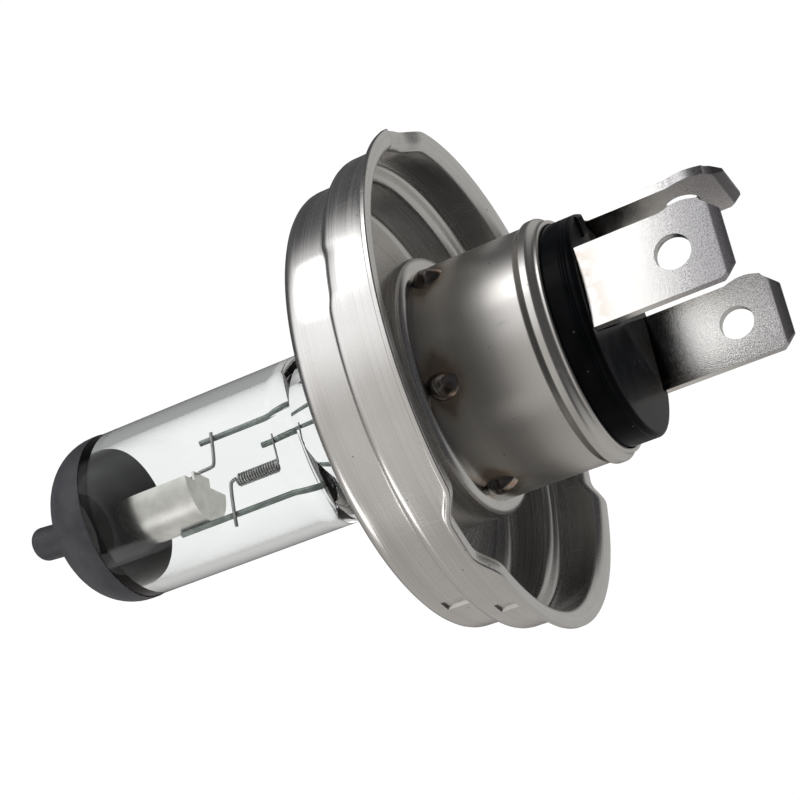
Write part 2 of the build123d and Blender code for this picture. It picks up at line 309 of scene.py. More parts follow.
def lathe(name, points, closed=True, columns=COLUMNS, sweep=360, turned=0, sharp=35):
    """Spin an outline of (radius, y) points about the bulb's axis."""
    outline = points + [points[0]] if closed else points
    piece = trace(name, outline, False)
    if turned:
        bpy.ops.transform.rotate(value=math.radians(turned), orient_axis="Y", center_override=(0, 0, 0))
    bpy.ops.mesh.spin(steps=columns, angle=math.radians(sweep), center=(0, 0, 0), axis=(0, 1, 0))
    return tidy_mesh(piece, sharp)


def plate(name, points, thickness):
    """A flat piece cut to an outline on the XY plane, standing up along Z."""
    piece = trace(name, points, True)
    bpy.ops.mesh.extrude_region_move(TRANSFORM_OT_translate={"value": (0, 0, thickness * MM)})
    return tidy_mesh(piece)


def ball(name, place, radius, columns=32):
    deselect()
    bpy.ops.mesh.primitive_uv_sphere_add(segments=columns, ring_count=columns // 2,
                                         radius=radius * MM, location=Vector(place) * MM)
    piece = bpy.context.object
    piece.name = piece.data.name = name
    settle(piece)
    return piece


def bar(name, place, radius, length, axis, columns=64):
    """A round bar about a place, along X, Y or Z."""
    turn = {"X": (0, math.pi / 2, 0), "Y": (math.pi / 2, 0, 0), "Z": (0, 0, 0)}[axis]
    deselect()
    bpy.ops.mesh.primitive_cylinder_add(vertices=columns, radius=radius * MM, depth=length * MM,
                                        location=Vector(place) * MM, rotation=turn)
    piece = bpy.context.object
    piece.name = piece.data.name = name
    return piece


def block(name, place, size):
    deselect()
    bpy.ops.mesh.primitive_cube_add(size=1, location=Vector(place) * MM)
    piece = bpy.context.object
    piece.name = piece.data.name = name
    piece.scale = Vector(size) * MM
    settle(piece)
    return piece


def settle(piece):
    """Put a piece's place, turn and scale into its mesh."""
    deselect()
    bpy.context.view_layer.objects.active = piece
    piece.select_set(True)
    bpy.ops.object.transform_apply(location=True, rotation=True, scale=True)


def turn_about_axis(piece, angle):
    """Turn a finished piece about the bulb's axis, from +X towards +Z."""
    piece.rotation_euler = (0, -math.radians(angle), 0)
    settle(piece)


def apply(piece, kind, **settings):
    """Add a modifier with its settings and apply it."""
    deselect()
    bpy.context.view_layer.objects.active = piece
    piece.select_set(True)
    modifier = piece.modifiers.new(kind.title(), kind)
    for key, value in settings.items():
        setattr(modifier, key, value)
    bpy.ops.object.modifier_apply(modifier=modifier.name)


def cut(piece, tool, operation="DIFFERENCE"):
    """Cut a tool out of a piece, and clear the tool away."""
    apply(piece, "BOOLEAN", operation=operation, solver="EXACT", object=tool)
    bpy.data.objects.remove(tool)


def soften(piece, width, segments=3, limit=40):
    """Round the edges that are sharper than the limit."""
    apply(piece, "BEVEL", width=width * MM, segments=segments, limit_method="ANGLE",
          angle_limit=math.radians(limit), harden_normals=False)
    bpy.ops.object.shade_smooth_by_angle(angle=math.radians(50))
    even_shading(piece)


def even_shading(piece):
    """Let the large faces keep their own normals, so that they shade flat beside rounded edges."""
    apply(piece, "WEIGHTED_NORMAL", mode="FACE_AREA", weight=50, keep_sharp=True)


def copy_of(piece, name):
    twin = piece.copy()
    twin.data = piece.data.copy()
    twin.name = twin.data.name = name
    bpy.context.scene.collection.objects.link(twin)
    return twin


def join(pieces):
    deselect()
    for piece in pieces:
        piece.select_set(True)
    bpy.context.view_layer.objects.active = pieces[0]
    bpy.ops.object.join()
    return pieces[0]


def place(piece, material, slot, *nodes):
    """Finish a piece: its material, its body and the nodes that it stands for. The slot is not used."""
    piece.data.materials.clear()
    piece.data.materials.append(material)
    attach(piece, "root")
    if nodes:
        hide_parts(*nodes)


# ---- node helpers ----

def wire_up(tree, source, socket):
    """Link an output to an input, or set the input to a plain value."""
    if isinstance(source, bpy.types.NodeSocket):
        tree.links.new(source, socket)
    else:
        socket.default_value = source


def math_node(tree, operation, first, second=0.0, clamp=False):
    node = tree.nodes.new("ShaderNodeMath")
    node.operation = operation
    node.use_clamp = clamp
    wire_up(tree, first, node.inputs[0])
    wire_up(tree, second, node.inputs[1])
    return node.outputs[0]


def noise(tree, vector, scale, detail=2.0, roughness=0.5):
    node = tree.nodes.new("ShaderNodeTexNoise")
    wire_up(tree, vector, node.inputs["Vector"])
    wire_up(tree, scale, node.inputs["Scale"])
    node.inputs["Detail"].default_value = detail
    node.inputs["Roughness"].default_value = roughness
    return node.outputs["Fac"]


def span(tree, value, low, high, to_low=0.0, to_high=1.0, smooth=True):
    """Map a value's range to another, held at both ends."""
    node = tree.nodes.new("ShaderNodeMapRange")
    node.interpolation_type = "SMOOTHSTEP" if smooth else "LINEAR"
    wire_up(tree, value, node.inputs["Value"])
    for key, number in (("From Min", low), ("From Max", high), ("To Min", to_low), ("To Max", to_high)):
        wire_up(tree, number, node.inputs[key])
    return node.outputs["Result"]


def mix(tree, factor, first, second, blend="MIX"):
    """Mix two colours."""
    node = tree.nodes.new("ShaderNodeMix")
    node.data_type = "RGBA"
    node.blend_type = blend
    colour = [s for s in node.inputs if s.type == "RGBA"]
    wire_up(tree, factor, node.inputs["Factor"])
    wire_up(tree, first, colour[0])
    wire_up(tree, second, colour[1])
    return next(s for s in node.outputs if s.type == "RGBA")


def millimetres(tree):
    """Object coordinates in millimetres."""
    place_node = tree.nodes.new("ShaderNodeTexCoord")
    scaled = tree.nodes.new("ShaderNodeVectorMath")
    scaled.operation = "SCALE"
    tree.links.new(place_node.outputs["Object"], scaled.inputs[0])
    scaled.inputs["Scale"].default_value = 1 / MM
    return scaled.outputs[0]


def parts_of(tree, vector):
    node = tree.nodes.new("ShaderNodeSeparateXYZ")
    tree.links.new(vector, node.inputs[0])
    return node.outputs


def combine(tree, x, y, z):
    node = tree.nodes.new("ShaderNodeCombineXYZ")
    for value, socket in zip((x, y, z), node.inputs):
        wire_up(tree, value, socket)
    return node.outputs[0]


def new_group(name, inputs, outputs):
    """A shader node group with named float sockets, its input node and its output node."""
    group = bpy.data.node_groups.new(name, "ShaderNodeTree")
    for socket, value in inputs.items():
        made = group.interface.new_socket(name=socket, in_out="INPUT", socket_type="NodeSocketFloat")
        made.default_value = value
    for socket in outputs:
        group.interface.new_socket(name=socket, in_out="OUTPUT", socket_type="NodeSocketFloat")
    return group, group.nodes.new("NodeGroupInput"), group.nodes.new("NodeGroupOutput")


def use(tree, group, **values):
    """Place a group in a material with its own values."""
    node = tree.nodes.new("ShaderNodeGroup")
    node.node_tree = group
    for key, value in values.items():
        node.inputs[key.replace("_", " ").capitalize()].default_value = value
    return node.outputs


def turning_lines_group():
    """Fine lines that run round the axis, as a lathe or a drawing die leaves them."""
    group, given, made = new_group("turning_lines", {"Density": 6.0, "Wander": 0.35}, ("Height", "Shade"))
    x, y, z = parts_of(group, millimetres(group))
    radius = math_node(group, "SQRT", math_node(group, "ADD", math_node(group, "MULTIPLY", x, x),
                                                math_node(group, "MULTIPLY", z, z)))
    angle = math_node(group, "ARCTAN2", z, x)
    lines = combine(group, math_node(group, "MULTIPLY", radius, given.outputs["Density"]),
                    math_node(group, "MULTIPLY", y, given.outputs["Density"]),
                    math_node(group, "MULTIPLY", math_node(group, "COSINE", angle), given.outputs["Wander"]))
    fine = noise(group, lines, 1.0, 3.0, 0.6)
    broad = noise(group, lines, 0.16, 2.0)
    group.links.new(fine, made.inputs["Height"])
    shade = math_node(group, "ADD", math_node(group, "MULTIPLY", fine, 0.6),
                      math_node(group, "MULTIPLY", broad, 0.4))
    group.links.new(shade, made.inputs["Shade"])
    return group


def specks_group():
    """Small specks of dust and pitting, spread thinly."""
    group, given, made = new_group("specks", {"Per mm": 2.5, "Share": 0.3}, ("Mask",))
    cells = group.nodes.new("ShaderNodeTexVoronoi")
    group.links.new(millimetres(group), cells.inputs["Vector"])
    group.links.new(given.outputs["Per mm"], cells.inputs["Scale"])
    close = span(group, cells.outputs["Distance"], 0.06, 0.14, 1.0, 0.0)
    colour = group.nodes.new("ShaderNodeSeparateColor")
    group.links.new(cells.outputs["Color"], colour.inputs[0])
    kept = math_node(group, "LESS_THAN", colour.outputs[0], given.outputs["Share"])
    group.links.new(math_node(group, "MULTIPLY", close, kept), made.inputs["Mask"])
    return group


def grain_group():
    """A fine even grain with a slow mottle, for plating, paint and plastic."""
    group, given, made = new_group("grain", {"Per mm": 8.0, "Mottle per mm": 0.5}, ("Fine", "Mottle"))
    where = millimetres(group)
    fine = noise(group, where, given.outputs["Per mm"], 4.0, 0.65)
    slow = noise(group, where, given.outputs["Mottle per mm"], 3.0)
    group.links.new(fine, made.inputs["Fine"])
    group.links.new(slow, made.inputs["Mottle"])
    return group


def scuffs_group():
    """Long thin scratches in patches, along the axis and a little askew."""
    group, given, made = new_group("scuffs", {"Per mm": 1.6, "Length": 8.0, "Share": 0.5}, ("Mask",))
    x, y, z = parts_of(group, millimetres(group))
    askew = math_node(group, "ADD", y, math_node(group, "MULTIPLY", z, 0.2))
    skewed = combine(group, math_node(group, "MULTIPLY", x, given.outputs["Per mm"]),
                     math_node(group, "DIVIDE", askew, given.outputs["Length"]),
                     math_node(group, "MULTIPLY", z, given.outputs["Per mm"]))
    streak = span(group, noise(group, skewed, 3.0, 2.0), 0.62, 0.7)
    patch = span(group, noise(group, millimetres(group), 0.22, 1.0), given.outputs["Share"], 0.75)
    group.links.new(math_node(group, "MULTIPLY", streak, patch), made.inputs["Mask"])
    return group


TURNING = turning_lines_group()
SPECKS = specks_group()
GRAIN = grain_group()
SCUFFS = scuffs_group()


# ---- materials ----

def new_material(name):
    material = bpy.data.materials.new(name)
    material.use_nodes = True
    tree = material.node_tree
    shader = tree.nodes["Principled BSDF"]
    return material, tree, shader


def bump(tree, shader, height, distance, strength=1.0):
    """A bump of a given depth in millimetres."""
    node = tree.nodes.new("ShaderNodeBump")
    node.inputs["Strength"].default_value = strength
    node.inputs["Distance"].default_value = distance * MM
    tree.links.new(height, node.inputs["Height"])
    tree.links.new(node.outputs[0], shader.inputs["Normal"])


def turned_steel(name, light, dark, rough, streak, lines_depth, tint=None):
    """Bright drawn sheet with turning lines, specks and scuffs."""
    material, tree, shader = new_material(name)
    lines = use(tree, TURNING, density=7.0, wander=0.4)
    grain = use(tree, GRAIN, per_mm=5.0, mottle_per_mm=0.35)
    specks = use(tree, SPECKS, per_mm=1.3, share=0.12)
    scuffs = use(tree, SCUFFS, per_mm=1.6, length=7.0, share=0.5)
    colour = mix(tree, span(tree, lines["Shade"], 0.3, 0.6), dark, light)
    colour = mix(tree, span(tree, grain["Mottle"], 0.3, 0.7, 0.0, 0.3), colour, dark)
    if tint:
        colour = tint(tree, colour)
    colour = mix(tree, math_node(tree, "MULTIPLY", specks["Mask"], 0.7), colour, (0.12, 0.10, 0.09, 1))
    tree.links.new(colour, shader.inputs["Base Color"])
    shader.inputs["Metallic"].default_value = 1.0
    roughness = span(tree, lines["Shade"], 0.3, 0.7, rough - streak, rough + streak)
    roughness = math_node(tree, "ADD", roughness, math_node(tree, "MULTIPLY", scuffs["Mask"], 0.18))
    tree.links.new(roughness, shader.inputs["Roughness"])
    height = math_node(tree, "SUBTRACT", lines["Height"], math_node(tree, "MULTIPLY", scuffs["Mask"], 0.5))
    bump(tree, shader, height, lines_depth)
    return material


def heat_tint(tree, colour):
    """Brown and straw heat colours on the shell round each weld drop."""
    x, y, z = parts_of(tree, millimetres(tree))
    angle = math_node(tree, "ARCTAN2", z, x)
    drops = math_node(tree, "COSINE", math_node(tree, "MULTIPLY", math_node(
        tree, "SUBTRACT", angle, math.radians(DROP_ANGLES[0])), len(DROP_ANGLES)))
    across = math_node(tree, "MULTIPLY", math_node(tree, "SUBTRACT", 1.0, drops), 1.6)
    along = math_node(tree, "ABSOLUTE", math_node(tree, "SUBTRACT", y, DROP_Y))
    far = math_node(tree, "ADD", math_node(tree, "ADD", across, along),
                    math_node(tree, "MULTIPLY", noise(tree, millimetres(tree), 0.8, 3.0), 1.2))
    colour = mix(tree, span(tree, far, 2.5, 3.3, 0.35, 0.0), colour, (0.54, 0.40, 0.25, 1))
    return mix(tree, span(tree, far, 1.8, 2.7, 0.65, 0.0), colour, (0.30, 0.22, 0.17, 1))


def plated_blade():
    """Bright tin plating, with a speckle that grows towards the coined tip."""
    material, tree, shader = new_material("tin_plate")
    x, y, _ = parts_of(tree, millimetres(tree))
    grain = use(tree, GRAIN, per_mm=9.0, mottle_per_mm=0.6)
    fine = use(tree, GRAIN, per_mm=20.0, mottle_per_mm=1.4)
    specks = use(tree, SPECKS, per_mm=1.1, share=0.1)
    scuffs = use(tree, SCUFFS, per_mm=1.2, length=5.0, share=0.45)
    # Greyer and more speckled towards the tip as worn tin. The factor along x is painted shade: it darkens
    # the +X blade's tip more than the -X blade's, and one side of the top blade more than the other.
    tip_wear_and_side_shade = math_node(tree, "MULTIPLY", span(tree, y, 16.5, 24.0), span(tree, x, -5, 5, 0.6, 1.0))
    speckle = math_node(tree, "MULTIPLY", span(tree, grain["Fine"], 0.46, 0.62), tip_wear_and_side_shade)
    worn_tin_and_side_shade = mix(tree, tip_wear_and_side_shade, (0.95, 0.935, 0.905, 1), (0.50, 0.49, 0.50, 1))
    colour = mix(tree, math_node(tree, "MULTIPLY", speckle, 0.75), worn_tin_and_side_shade, (0.16, 0.15, 0.16, 1))
    # The coined tip is painted near-black: painted shade on its sloped face.
    coined = span(tree, y, BLADE_TIP - COIN_LENGTH - 0.1, BLADE_TIP - COIN_LENGTH + 0.1)
    colour = mix(tree, math_node(tree, "MULTIPLY", coined, 0.8), colour, (0.12, 0.11, 0.12, 1))
    root = math_node(tree, "MULTIPLY", span(tree, y, 13.0, 16.0, 1.0, 0.0),
                     span(tree, grain["Mottle"], 0.42, 0.6))
    colour = mix(tree, math_node(tree, "MULTIPLY", root, 0.45), colour, (0.62, 0.47, 0.33, 1))
    colour = mix(tree, math_node(tree, "MULTIPLY", specks["Mask"], 0.8), colour, (0.1, 0.09, 0.08, 1))
    tree.links.new(colour, shader.inputs["Base Color"])
    shader.inputs["Metallic"].default_value = 1.0
    rough = math_node(tree, "ADD", span(tree, tip_wear_and_side_shade, 0, 1, 0.06, 0.3),
                      math_node(tree, "MULTIPLY", scuffs["Mask"], 0.15))
    rough = math_node(tree, "ADD", rough, math_node(tree, "MULTIPLY", coined, 0.1))
    tree.links.new(rough, shader.inputs["Roughness"])
    worn = math_node(tree, "MULTIPLY", grain["Fine"], span(tree, y, 14, 23, 0.2, 1.0))
    pressed = math_node(tree, "MULTIPLY", fine["Fine"], math_node(tree, "ADD", coined, 0.2))
    height = math_node(tree, "ADD", worn, pressed)
    bump(tree, shader, height, 0.02)
    return material


def moulded_plastic():
    """Deep black moulding compound, with a fine grain and a little dust."""
    material, tree, shader = new_material("black_plastic")
    grain = use(tree, GRAIN, per_mm=6.0, mottle_per_mm=0.4)
    specks = use(tree, SPECKS, per_mm=1.2, share=0.16)
    colour = mix(tree, span(tree, grain["Mottle"], 0.35, 0.65), (0.004, 0.0045, 0.005, 1),
                 (0.009, 0.0095, 0.011, 1))
    colour = mix(tree, math_node(tree, "MULTIPLY", specks["Mask"], 0.6), colour, (0.25, 0.24, 0.23, 1))
    tree.links.new(colour, shader.inputs["Base Color"])
    rough = math_node(tree, "ADD", span(tree, grain["Mottle"], 0.3, 0.7, 0.13, 0.24),
                      math_node(tree, "MULTIPLY", specks["Mask"], 0.4))
    tree.links.new(rough, shader.inputs["Roughness"])
    shader.inputs["Specular IOR Level"].default_value = 0.03
    bump(tree, shader, grain["Fine"], 0.006)
    return material


def quartz():
    """Clear quartz with a faint green cast and a slow wave in its surface."""
    material, tree, shader = new_material("quartz_glass")
    grain = use(tree, GRAIN, per_mm=0.5, mottle_per_mm=0.15)
    colour = mix(tree, span(tree, grain["Mottle"], 0.3, 0.7), (0.94, 0.95, 0.945, 1), (0.915, 0.93, 0.925, 1))
    tree.links.new(colour, shader.inputs["Base Color"])
    shader.inputs["Transmission Weight"].default_value = 1.0
    shader.inputs["IOR"].default_value = 1.46
    shader.inputs["Roughness"].default_value = 0.0
    shader.inputs["Specular Tint"].default_value = (0.35, 0.35, 0.35, 1)
    bump(tree, shader, grain["Mottle"], 0.003)
    return material


def dome_paint(name, dark, light, gloss):
    """Matte heat-proof paint with a fine grain and a slow mottle."""
    material, tree, shader = new_material(name)
    grain = use(tree, GRAIN, per_mm=6.0, mottle_per_mm=0.5)
    specks = use(tree, SPECKS, per_mm=1.5, share=0.1)
    colour = mix(tree, span(tree, grain["Mottle"], 0.3, 0.7), dark, light)
    colour = mix(tree, math_node(tree, "MULTIPLY", specks["Mask"], 0.3), colour, (0.16, 0.15, 0.16, 1))
    tree.links.new(colour, shader.inputs["Base Color"])
    tree.links.new(span(tree, grain["Fine"], 0.3, 0.7, 0.42, 0.6), shader.inputs["Roughness"])
    shader.inputs["Specular IOR Level"].default_value = gloss
    bump(tree, shader, grain["Fine"], 0.012)
    return material


def drawn_metal(name, light, dark, rough, depth=0.01):
    """Wire and small sheet parts, with a fine grain and a slow change of tone."""
    material, tree, shader = new_material(name)
    grain = use(tree, GRAIN, per_mm=10.0, mottle_per_mm=0.8)
    colour = mix(tree, span(tree, grain["Mottle"], 0.35, 0.65), light, dark)
    tree.links.new(colour, shader.inputs["Base Color"])
    shader.inputs["Metallic"].default_value = 1.0
    tree.links.new(span(tree, grain["Fine"], 0.3, 0.7, rough - 0.05, rough + 0.1), shader.inputs["Roughness"])
    bump(tree, shader, grain["Fine"], depth)
    return material


def weld_bead():
    """Weld metal that has run and cooled, with heat colours in patches."""
    material, tree, shader = new_material("weld_metal")
    grain = use(tree, GRAIN, per_mm=2.2, mottle_per_mm=0.9)
    _, y, _ = parts_of(tree, millimetres(tree))
    colour = mix(tree, span(tree, grain["Mottle"], 0.4, 0.6), (0.55, 0.53, 0.51, 1), (0.20, 0.17, 0.15, 1))
    hot = math_node(tree, "MULTIPLY", span(tree, y, 0.2, 1.4), span(tree, grain["Fine"], 0.45, 0.6))
    colour = mix(tree, math_node(tree, "MULTIPLY", hot, 0.7), colour, (0.62, 0.34, 0.20, 1))
    tree.links.new(colour, shader.inputs["Base Color"])
    shader.inputs["Metallic"].default_value = 1.0
    tree.links.new(span(tree, grain["Fine"], 0.35, 0.65, 0.06, 0.2), shader.inputs["Roughness"])
    bump(tree, shader, grain["Fine"], 0.02)
    return material


STEEL = turned_steel("flange_steel", (0.80, 0.79, 0.77, 1), (0.68, 0.66, 0.64, 1), 0.24, 0.06, 0.003)
SHELL_STEEL = turned_steel("shell_steel", (0.74, 0.72, 0.69, 1), (0.70, 0.68, 0.65, 1), 0.3, 0.01, 0.0006,
                           heat_tint)
TIN = plated_blade()
PLASTIC = moulded_plastic()
QUARTZ = quartz()
PAINT = dome_paint("antiglare_paint", (0.054, 0.052, 0.061, 1), (0.080, 0.078, 0.089, 1), 0.5)
# Painted shade: the coating's inner faces take a near-black copy of the same paint.
PAINT_SHADED_INSIDE = dome_paint("antiglare_paint_painted_shade", (0.005, 0.005, 0.006, 1), (0.012, 0.012, 0.013, 1), 0.02)
WELD = weld_bead()
TUNGSTEN = drawn_metal("tungsten", (0.50, 0.50, 0.49, 1), (0.32, 0.33, 0.33, 1), 0.32)
SHIELD_METAL = drawn_metal("molybdenum", (0.92, 0.90, 0.86, 1), (0.80, 0.78, 0.74, 1), 0.35)
WIRE_METAL = drawn_metal("molybdenum_wire", (0.26, 0.30, 0.28, 1), (0.18, 0.21, 0.195, 1), 0.3)
FOIL_METAL = drawn_metal("molybdenum_foil", (0.52, 0.52, 0.53, 1), (0.40, 0.40, 0.41, 1), 0.4)
LEAD_METAL = drawn_metal("nickel_lead", (0.68, 0.66, 0.62, 1), (0.50, 0.48, 0.45, 1), 0.3)
HOLDER_STEEL = drawn_metal("holder_steel", (0.72, 0.71, 0.69, 1), (0.58, 0.56, 0.54, 1), 0.28)


# ---- pieces ----

def make_flange():
    """One piece of drawn sheet: lip, collar, nose, floor and neck, then the pads and dimples."""
    collar, nose, neck = COLLAR_R - SHEET, NOSE_R - SHEET, NECK_R + SHEET
    lip_rear = LIP_Y + SHEET
    section = [
        (LIP_R, LIP_Y, 0.12), (COLLAR_R, LIP_Y, 0.45), (COLLAR_R, -0.05), (COLLAR_R, -1.6),
        (COLLAR_R, COLLAR_FRONT, 0.95),
        (NOSE_R, COLLAR_FRONT, 0.3), (NOSE_R, -3.95), (NOSE_R, -5.85), (NOSE_R, NOSE_FRONT, 1.15),
        (NECK_R, NOSE_FRONT, 0.8), (NECK_R, NECK_REAR - SHEET, 0.3), (SHELL_R, NECK_REAR - SHEET),
        (SHELL_R, NECK_REAR), (neck, NECK_REAR, 0.8), (neck, NOSE_FRONT + SHEET, 0.3),
        (nose, NOSE_FRONT + SHEET, 0.65), (nose, COLLAR_FRONT + SHEET, 0.8),
        (collar, COLLAR_FRONT + SHEET, 0.45), (collar, lip_rear, 0.95), (LIP_R, lip_rear, 0.12),
    ]
    flange = lathe("flange", rounded(section))
    edit(flange)
    reach = PAD_HALF + PAD_RAMP
    for middle in PADS:
        for step in range(1 - round(reach), round(reach)):
            pressed = min(1, (reach - abs(step)) / PAD_RAMP)
            pressed = pressed * pressed * (3 - 2 * pressed)
            pick(flange, lambda p: p.y > 0.5 and radius_of(p) > collar - 1
                 and abs(between(angle_of(p), middle + step)) < 0.5)
            bpy.ops.transform.translate(value=(0, -LIP_Y * pressed * MM, 0))
    for middle in DIMPLES:
        for radius, start, end, shift in ((NOSE_R, -5.9, -3.9, 0), (COLLAR_R, -1.65, 0.0, -2)):
            pick_faces(flange, lambda c, n: start < c.y < end and radius_of(c) > radius - 0.1
                       and n.dot(Vector((c.x, 0, c.z)).normalized()) > 0.9
                       and abs(between(angle_of(c), middle + shift)) < DIMPLE_HALF)
            bpy.ops.mesh.inset(thickness=0.12 * MM)
            bpy.ops.transform.shrink_fatten(value=-DIMPLE_DEPTH * MM)
            bpy.ops.mesh.inset(thickness=0.1 * MM)
    bpy.ops.mesh.select_mode(type="VERT")
    pick(flange, lambda p: abs(between(angle_of(p), DENT_ANGLE)) < 5 and -3.9 < p.y < -3.1
         and radius_of(p) > NOSE_R - 0.2)
    bpy.ops.transform.translate(value=(DENT_SHIFT[0] * MM, DENT_SHIFT[1] * MM, 0), use_proportional_edit=True,
                                proportional_edit_falloff="SMOOTH", proportional_size=DENT_REACH * MM)
    tidy_mesh(flange)
    place(flange, STEEL, "flange_steel", "flange_ring")


def make_shell():
    """The drawn tube, with a rolled bead before its rear edge."""
    inner_bead, inner_end = BEAD_R - SHELL_WALL, SHELL_END_R - SHELL_WALL
    section = [
        (SHELL_R, NOSE_FRONT, 0.1), (SHELL_R, BEAD_Y - 0.9, 0.5), (BEAD_R, BEAD_Y - 0.35, 0.4),
        (BEAD_R, BEAD_Y + 0.35, 0.4), (SHELL_END_R, SHELL_REAR - 0.4, 0.4), (SHELL_END_R, SHELL_REAR, 0.12),
        (inner_end, SHELL_REAR, 0.12), (inner_end, SHELL_REAR - 0.55, 0.3), (inner_bead, BEAD_Y + 0.25, 0.3),
        (inner_bead, BEAD_Y - 0.25, 0.3), (SHELL_BORE, BEAD_Y - 0.7, 0.3), (SHELL_BORE, NOSE_FRONT, 0.1),
    ]
    shell = lathe("shell", rounded(section), columns=240)
    place(shell, SHELL_STEEL, "shell_steel", "base_shell")


def blade_outline():
    """A blade laid flat: its width along X and its length along Y, with the lobe on the +X edge."""
    shoulder = BLADE_TIP - TIP_TAPER
    lobe_start, lobe_end = HOLE_Y - 0.2, shoulder - 0.15
    steps = 10
    lobe = [Vector((BLADE_HALF + LOBE_H * math.sin(math.pi * i / steps),
                    lobe_start + (lobe_end - lobe_start) * i / steps)) for i in range(1, steps)]
    corners = [(-BLADE_HALF, BLADE_ROOT), (BLADE_HALF, BLADE_ROOT), (BLADE_HALF, lobe_start)]
    ends = [(BLADE_HALF, lobe_end), (BLADE_HALF - 0.3, shoulder), (BLADE_HALF - 1.4, BLADE_TIP, 0.12),
            (-BLADE_HALF + 1.0, BLADE_TIP, 0.12), (-BLADE_HALF, shoulder, 0.3)]
    points = rounded(corners + ends)
    split = next(i for i, p in enumerate(points) if (p - Vector(corners[-1])).length < 1e-6) + 1
    return points[:split] + lobe + points[split:]


def flat_blade():
    """A blade on the XY plane: pierced, coined at the tip and softened along its edges."""
    blade = plate("blade", blade_outline(), BLADE_T)
    edit(blade)
    bpy.ops.mesh.select_all(action="SELECT")
    bpy.ops.mesh.bisect(plane_co=(0, (BLADE_TIP - COIN_LENGTH) * MM, 0), plane_no=(0, 1, 0))
    pick(blade, lambda p: p.y > BLADE_TIP - 0.2)
    squeeze = 1 - 2 * COIN_DEPTH / BLADE_T
    bpy.ops.transform.resize(value=(1, 1, squeeze), center_override=(0, 0, BLADE_T / 2 * MM))
    done()
    cut(blade, bar("punch", (0, HOLE_Y, BLADE_T / 2), HOLE_R, 3, "Z", 72))
    soften(blade, 0.06, 2, 50)
    return blade


def make_blades():
    flat = flat_blade()
    right, left = copy_of(flat, "right_blade"), copy_of(flat, "left_blade")
    flat.name = flat.data.name = "top_blade"
    flat.location = (0, 0, TOP_BLADE_IN * MM)
    right.rotation_euler = left.rotation_euler = (0, -math.pi / 2, 0)
    right.location = ((SIDE_BLADE_IN + BLADE_T) * MM, 0, 0)
    left.location = (-SIDE_BLADE_IN * MM, 0, 0)
    for piece, node in ((flat, "blade_top"), (right, "blade_right"), (left, "blade_left")):
        settle(piece)
        place(piece, TIN, "tinned_blade", node)


def make_insulator():
    """The moulded plug end, with fine ridges near its rear edge, a lug and a slot for each blade."""
    spigot, rib = SHELL_BORE - 0.05, BEAD_R - 0.5
    corners = [
        (0, PLASTIC_FRONT), (spigot, PLASTIC_FRONT, 0.3), (spigot, BEAD_Y - 0.5, 0.1),
        (rib, BEAD_Y - 0.2, 0.1),
        (rib, BEAD_Y + 0.1, 0.1), (PLASTIC_R, SHELL_REAR - 0.7, 0.1),
    ]
    for i in range(RIDGES):
        along = RIDGE_START + RIDGE_PITCH * i
        corners += [(PLASTIC_R, along - 0.05), (PLASTIC_R - 0.05, along), (PLASTIC_R, along + 0.05)]
    corners += [(PLASTIC_R, PLASTIC_REAR, 0.4), (0, PLASTIC_REAR)]
    body = lathe("plug_end", rounded(corners), closed=False, columns=240, sharp=50)
    lug = block("lug", (PLASTIC_R - 1.1, PLASTIC_REAR - 0.45, 0), LUG_SIZE)
    soften(lug, 0.25, 4)
    turn_about_axis(lug, LUG_ANGLE)
    cut(body, lug, "UNION")
    gap, deep = SLOT_GAP, SLOT_DEEP
    wide = 2 * (BLADE_HALF + SLOT_TIGHT)
    slots = (
        ((SIDE_BLADE_IN + BLADE_T / 2, PLASTIC_REAR, 0), (BLADE_T + 2 * gap, 2 * deep, wide)),
        ((-SIDE_BLADE_IN - BLADE_T / 2, PLASTIC_REAR, 0), (BLADE_T + 2 * gap, 2 * deep, wide)),
        ((0, PLASTIC_REAR, TOP_BLADE_IN + (BLADE_T - gap) / 2), (wide, 2 * deep, BLADE_T + gap)),
    )
    for middle, size in slots:
        slot = block("slot", middle, size)
        soften(slot, 0.05, 2)
        cut(body, slot)
    bpy.ops.object.shade_smooth_by_angle(angle=math.radians(40))
    even_shading(body)
    place(body, PLASTIC, "black_plastic", "insulator")


def capsule_side(grow):
    """The capsule's outer outline from the middle of its dome to its rear."""
    radius = GLASS_R + grow
    return [(0, DOME_FRONT - grow), (radius, DOME_FRONT - grow, DOME_ROUND + grow), (radius, PINCH_REAR),
            (0, PINCH_REAR)]


def jaw(side):
    """The space that one press jaw leaves beside the flat pinch."""
    wide, start = GLASS_R + 1, PINCH_Y - 0.6
    corners = [(wide, start), (GLASS_R, PINCH_Y, 0.6), (PINCH_HALF, PINCH_FULL, 1.5),
               (PINCH_HALF, PINCH_REAR + 1), (wide, PINCH_REAR + 1)]
    tool = plate("jaw", [Vector((side * p.x, p.y)) for p in rounded(corners, 8)], 2 * wide)
    tool.location.z = -wide * MM
    settle(tool)
    return tool


def make_glass():
    """The capsule, pinched flat at its rear, round its own closed gas space."""
    glass = lathe("capsule", rounded(capsule_side(0), 16), closed=False, columns=192)
    for side in (1, -1):
        cut(glass, jaw(side))
    bpy.ops.object.shade_smooth_by_angle(angle=math.radians(35))
    bore, gas_rear = GLASS_R - GLASS_WALL, PINCH_Y + 0.4
    dome = DOME_FRONT + GLASS_WALL
    gas = lathe("gas_space", rounded([(0, dome), (bore, dome, DOME_ROUND - GLASS_WALL), (bore, gas_rear, 3.2),
                                      (0, gas_rear)], 16), closed=False, columns=192)
    edit(gas)
    bpy.ops.mesh.select_all(action="SELECT")
    bpy.ops.mesh.flip_normals()
    done()
    join([glass, gas])
    place(glass, QUARTZ, "quartz_glass", "glass_capsule")


